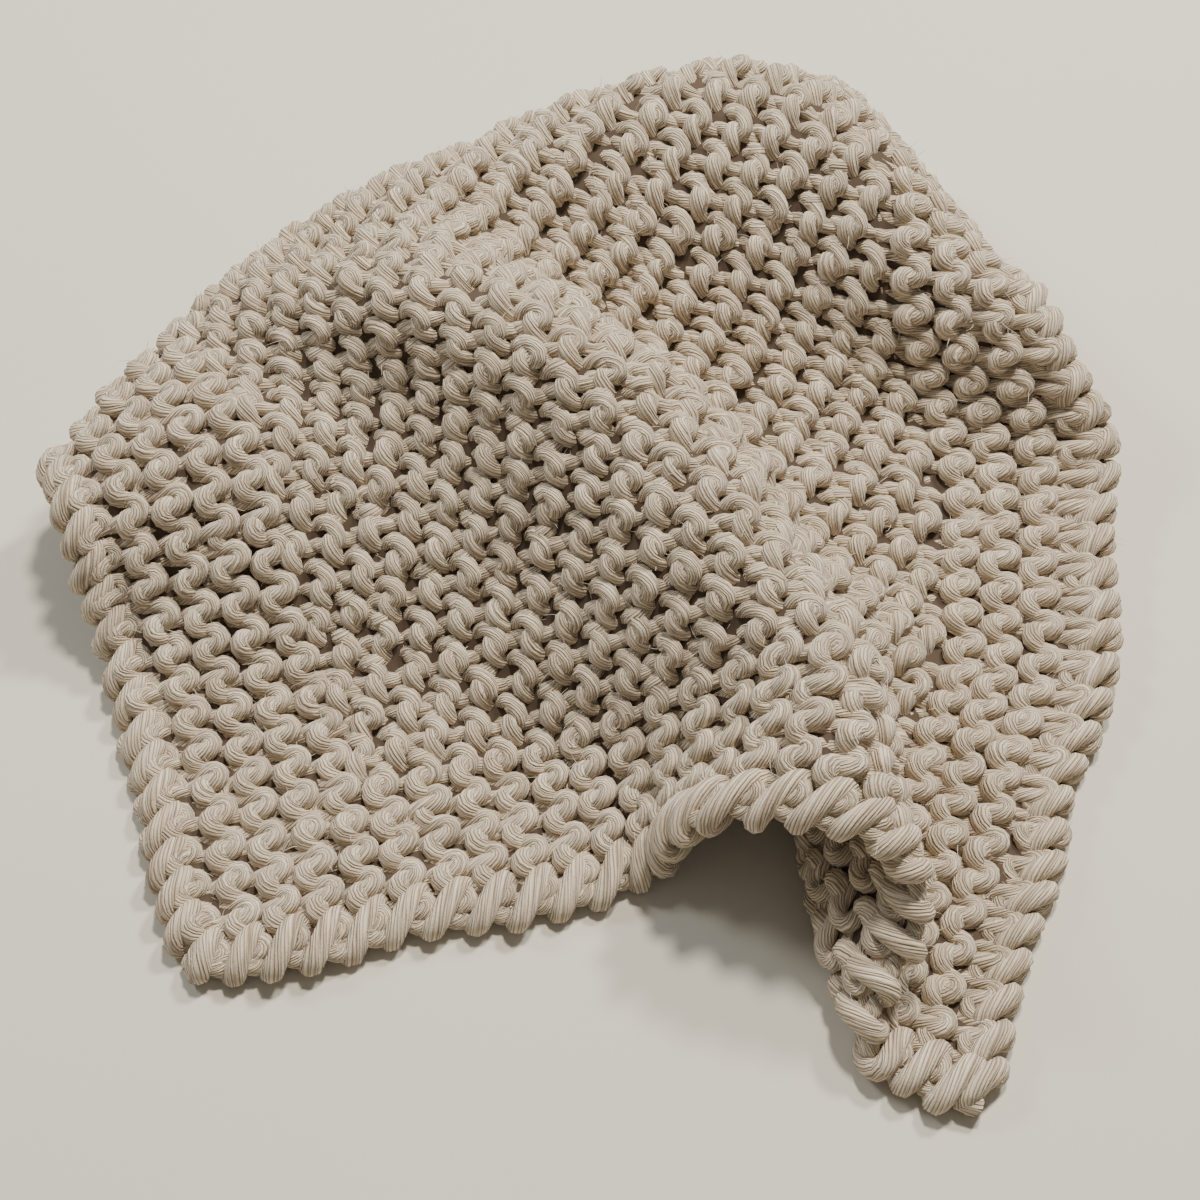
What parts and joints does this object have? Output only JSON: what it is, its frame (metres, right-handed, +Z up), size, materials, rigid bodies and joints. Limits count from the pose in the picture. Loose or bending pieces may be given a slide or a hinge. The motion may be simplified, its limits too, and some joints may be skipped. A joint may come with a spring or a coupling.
{
  "type": "knitted face cloth",
  "caption": "Thick hand-knitted cotton face cloth lying in a loose heap, with a tall fold that opens as an arch at the near hem.",
  "frame": {"origin": "centre of the box's bottom, on the surface that the cloth lies on", "axes": "+Z up, +Y away from the near hem with its arch, +X to the right along that hem"},
  "size_m": [0.2074, 0.2184, 0.0516],
  "materials": {
    "cotton": "matt, loosely spun, slightly fuzzy yarn"
  },
  "bodies": {
    "root": {"cloth": "cotton"}
  },
  "joints": []
}
